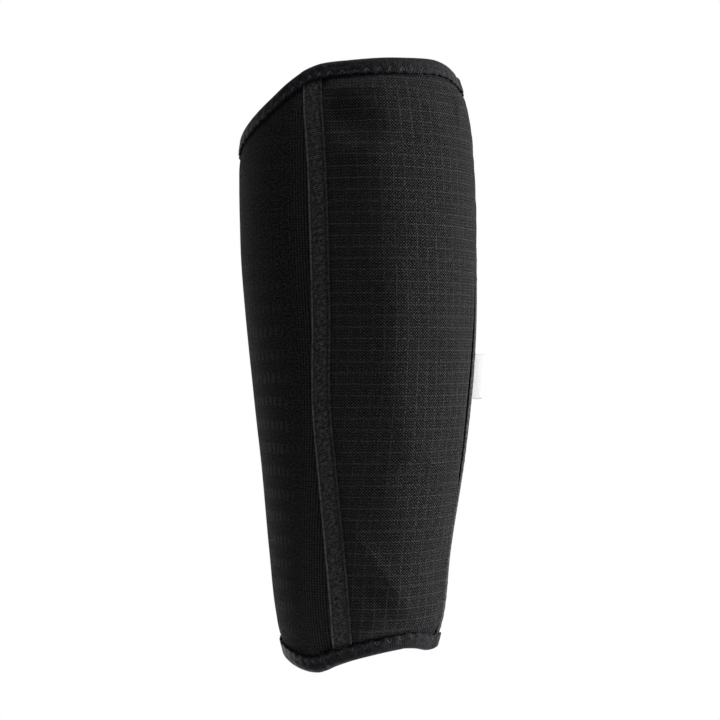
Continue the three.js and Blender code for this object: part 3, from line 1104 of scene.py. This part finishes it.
@dataclass
class SideLabel:
    """A blank white ribbon folded in half, its raw ends under the outer tape's rear edge."""

    height: float = 23.0
    reach: float = 8.4
    lean: float = math.radians(52)
    share: float = 0.475
    half_tape: float = HALF_TAPE
    gap: float = SEWN_GAP
    thick: float = 0.3
    root_half: float = 0.3
    fold_half: float = 0.55
    # Where the ribbon comes out: distance behind the tape's gap, and height over the knit's gap.
    root_behind: float = 0.4
    root_lift: float = 0.35
    curl: float = 0.16
    columns: int = 44
    rows: int = 24

    def face(self, u: float, v: float) -> Vector:
        """A point of the ribbon's outer face, from the front layer round the fold to the back one."""
        low, high = (FORM.height(FORM.seam(Seam.OUTER, end), end) for end in (0, 1))
        seam_height = high - low
        share = self.share + (v - 0.5) * self.height / seam_height
        middle = FORM.seam(Seam.OUTER, share)
        z = FORM.height(middle, share)
        turn = middle + (self.half_tape + self.gap + self.root_behind) / FORM.arc(middle, z)
        straight = self.reach - self.fold_half
        length = u * (2 * straight + math.pi * self.fold_half)
        bend = min(max((length - straight) / self.fold_half, 0), math.pi)
        run = min(length, 2 * straight + math.pi * self.fold_half - length, straight)
        half = lerp(self.root_half, self.fold_half, smoothstep(run, straight * 0.5, straight))
        out = run + self.fold_half * math.sin(bend)
        off = half * math.cos(bend) if 0 < bend < math.pi else math.copysign(half, math.cos(bend))
        lean = self.lean - self.curl * (out / self.reach) ** 2
        rearwards = Vector((math.cos(turn), math.sin(turn), 0))
        outwards = Vector((math.sin(turn), -math.cos(turn), 0))
        reach = rearwards * math.cos(lean) + outwards * math.sin(lean)
        across = outwards * math.cos(lean) - rearwards * math.sin(lean)
        return FORM.point(turn, z, self.gap + self.root_lift) + (reach * out + across * off) * MM

    def cut(self, u: float, v: float) -> tuple[float, float]:
        """The place on the flat ribbon."""
        return u * 2 * self.reach, v * self.height

    def build(self, finish: bpy.types.Material) -> bpy.types.Object:
        """Makes the ribbon with its thickness."""
        mesh = bmesh.new()
        lay_cloth(mesh, self.columns, self.rows, self.face, self.cut)
        bmesh.ops.reverse_faces(mesh, faces=mesh.faces)
        piece = make_piece("side_label_ribbon", mesh, finish)
        thicken(piece, self.thick)
        settle(piece, "ribbon", "side_label")
        return piece


@dataclass
class Stitching:
    """Rows of sewing thread on the tapes and bindings, one rounded grain a stitch."""

    thread: float = 0.42
    tape_pitch: float = 2.6
    tape_row: float = 275.0
    tape_proud: float = 0.06
    # The shares of the seam that a row covers, and of its pitch that a stitch covers.
    row_span: tuple[float, float] = (0.02, 0.98)
    stitch_span: tuple[float, float] = (0.06, 0.94)
    # A zigzag's half length, its rise inside the raw edge and its feet past it, and their lifts.
    zigzag_half: float = 2.0
    zigzag_rise: float = 2.8
    foot_past: float = 0.5
    peak_lift: float = 1.25
    foot_lift: float = 0.75
    second_leg: float = 0.8
    # How far stitches stray along the edge and in their rise.
    stray_along: float = 0.5
    stray_rise: float = 0.4

    def grain(self, mesh: bmesh.types.BMesh, start: Vector, end: Vector, width: float) -> None:
        """Adds one stitch between two points.

        Args:
            mesh: The mesh to add it to.
            start: Where the thread comes up.
            end: Where it goes down.
            width: The thread's thickness, in millimetres.
        """
        run = end - start
        turn = run.to_track_quat("X", "Z").to_matrix().to_4x4()
        size = Matrix.Diagonal((run.length / 2, width / 2 * MM, width / 2 * MM, 1))
        place = Matrix.Translation((start + end) / 2) @ turn @ size
        bmesh.ops.create_uvsphere(mesh, u_segments=8, v_segments=6, radius=1, matrix=place)

    def sew_tape(self, tape: SeamTape, finish: bpy.types.Material) -> bpy.types.Object:
        """Sews a tape down along both its edges."""
        mesh = bmesh.new()
        count = round(self.tape_row / self.tape_pitch)
        lift = tape.gap + tape.thick + tape.relief(tape.stitch_row, 0) + self.tape_proud
        for across in (-tape.stitch_row, tape.stitch_row):
            for i in range(count):
                ends = [lerp(*self.row_span, (i + part) / count) for part in self.stitch_span]
                start, end = (FORM.point(*tape.spot(across, share), lift) for share in ends)
                self.grain(mesh, start, end, self.thread)
        piece = make_piece(f"{tape.side.name.lower()}_tape_stitches", mesh, finish)
        settle(piece, "webbing")
        return piece

    def sew_binding(self, binding: EdgeBinding, finish: bpy.types.Material) -> bpy.types.Object:
        """Sews a binding down with a zigzag over its raw edge."""
        mesh = bmesh.new()
        lengths = binding.lengths
        for i in range(binding.stitches):
            middle = (i + 0.5) / binding.stitches * binding.round
            stray = [noise.noise(Vector((i * 1.7, binding.end.value * 9, k))) for k in range(4)]
            legs: list[Vector] = []
            rise = self.zigzag_rise * (1 + self.stray_rise * stray[3])
            for along, peak in ((-1, False), (0, True), (1, False)):
                shift = (along + self.stray_along * stray[along + 1]) * self.zigzag_half
                length = (middle + shift) % binding.round
                step = next(k for k in range(binding.steps) if lengths[k + 1] >= length)
                share = (length - lengths[step]) / (lengths[step + 1] - lengths[step])
                turn = (step + share) / binding.steps * math.tau
                inset = binding.width - (rise if peak else -self.foot_past)
                lift = (self.peak_lift if peak else self.foot_lift) + binding.tape_bump(turn)
                legs.append(FORM.point(*FORM.inset(binding.end, turn, inset), lift))
            self.grain(mesh, legs[0], legs[1], self.thread)
            self.grain(mesh, legs[1], legs[2], self.thread * self.second_leg)
        piece = make_piece(f"{binding.end.name.lower()}_binding_stitches", mesh, finish)
        settle(piece, "elastic")
        return piece


@dataclass(frozen=True)
class Softbox:
    """One soft light, placed round the pad from the camera's side."""

    name: str
    round_from_camera: float
    distance: float
    height: float
    width: float
    tall: float
    watts: float


@dataclass
class Studio:
    """The camera, the soft lights, the white surround and the floor."""

    azimuth: float = -34.5
    distance: float = 0.8755
    camera_height: float = 0.0035
    lens: float = 85.0
    sensor: float = 36.0
    floor_height: float = -0.45
    floor_half: float = 1.2
    front_light: float = 0.03
    back_light: float = 1.25
    softboxes: tuple[Softbox, ...] = (
        Softbox("key_right", 93, 1.1, 0.1, 0.6, 1.4, 17.5),
        Softbox("key_low", 80, 1.0, -0.5, 0.6, 0.8, 2.6),
        Softbox("fill_left", -20, 1.6, 0.1, 1.2, 1.4, 2.6),
        Softbox("rim_left", -146, 1.5, -0.8, 0.8, 1.4, 10),
        Softbox("overhead", -10, 0.25, 1.1, 0.9, 0.9, 6.4),
        Softbox("table_bounce", -20, 0.05, -0.36, 0.5, 0.5, 0.9),
    )

    def towards(self, round_from_camera: float) -> Vector:
        """The level direction from the pad to a place round it, in degrees from the camera."""
        turn = math.radians(self.azimuth + round_from_camera)
        return Vector((math.sin(turn), -math.cos(turn), 0))

    def set_camera(self) -> None:
        """Puts the camera at the photograph's angle."""
        data = bpy.data.cameras.new("camera")
        data.lens = self.lens
        data.sensor_width = self.sensor
        camera = bpy.data.objects.new("camera", data)
        camera.location = self.towards(0) * self.distance + Vector((0, 0, self.camera_height))
        camera.rotation_euler = (math.pi / 2, 0, math.radians(self.azimuth))
        bpy.context.scene.collection.objects.link(camera)
        bpy.context.scene.camera = camera

    def set_lights(self) -> None:
        """Hangs the soft lights, each turned to the pad."""
        for box in self.softboxes:
            data = bpy.data.lights.new(box.name, "AREA")
            data.shape = "RECTANGLE"
            data.size, data.size_y = box.width, box.tall
            data.energy = box.watts
            light = bpy.data.objects.new(box.name, data)
            light.location = self.towards(box.round_from_camera) * box.distance + Vector((0, 0, box.height))
            light.rotation_euler = (-light.location).to_track_quat("-Z", "Y").to_euler()
            light.visible_camera = False
            bpy.context.scene.collection.objects.link(light)

    def set_surround(self) -> None:
        """Makes the backdrop white to look at, and its light stronger from behind the pad."""
        board = Board(bpy.data.worlds.new("surround"))
        facing = board.add("TexCoord")
        behind = board.add(
            "VectorMath", {0: facing.outputs["Generated"], 1: -self.towards(0)}, operation="DOT_PRODUCT"
        )
        strength = board.add(
            "MapRange", {0: behind.outputs["Value"], 1: 0.4, 2: 1.0, 3: self.front_light, 4: self.back_light}
        )
        felt = board.add("Background", {"Color": (1, 1, 1, 1), "Strength": strength})
        seen = board.add("Background", {"Color": (1, 1, 1, 1), "Strength": 1.0})
        ray = board.add("LightPath")
        mix = board.add("MixShader", {0: ray.outputs["Is Camera Ray"], 1: felt, 2: seen})
        board.add("OutputWorld", {"Surface": mix})
        bpy.context.scene.world = board.holder
        bpy.context.scene.view_settings.view_transform = "Standard"

    def set_floor(self) -> None:
        """Lays a plain pale floor well below the pad, as bright as the backdrop."""
        mesh = bmesh.new()
        bmesh.ops.create_grid(mesh, x_segments=1, y_segments=1, size=self.floor_half)
        bmesh.ops.translate(mesh, verts=mesh.verts, vec=(0, 0, self.floor_height))
        board = Board(bpy.data.materials.new("pale_floor"))
        paper = board.add("Emission", {"Color": (1, 1, 1, 1), "Strength": 1.0})
        board.add("OutputMaterial", {"Surface": paper})
        floor = make_piece("floor", mesh, board.holder)
        floor.visible_diffuse = floor.visible_glossy = False

    def build(self) -> None:
        """Sets up everything round the pad."""
        self.set_camera()
        self.set_lights()
        self.set_surround()
        self.set_floor()


def write_sizes() -> None:
    """Updates the view layer."""
    bpy.context.view_layer.update()


def main() -> None:
    """Builds the pieces in order and dresses them."""
    logging.basicConfig(level=logging.INFO, format="%(name)s: %(message)s")
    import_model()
    Studio().build()
    finishes = Finishes()
    stitching = Stitching()
    FrontPad().build(finishes.ripstop)
    CalfPanel().build(finishes.knit)
    for side in Seam:
        tape = SeamTape(side)
        tape.build(finishes.tape)
        stitching.sew_tape(tape, finishes.tape_thread)
    for end in End:
        binding = EdgeBinding(end)
        binding.build(finishes.elastic)
        stitching.sew_binding(binding, finishes.highlighted_binding_thread)
    SideLabel().build(finishes.ribbon)
    write_sizes()


if __name__ == "__main__":
    main()
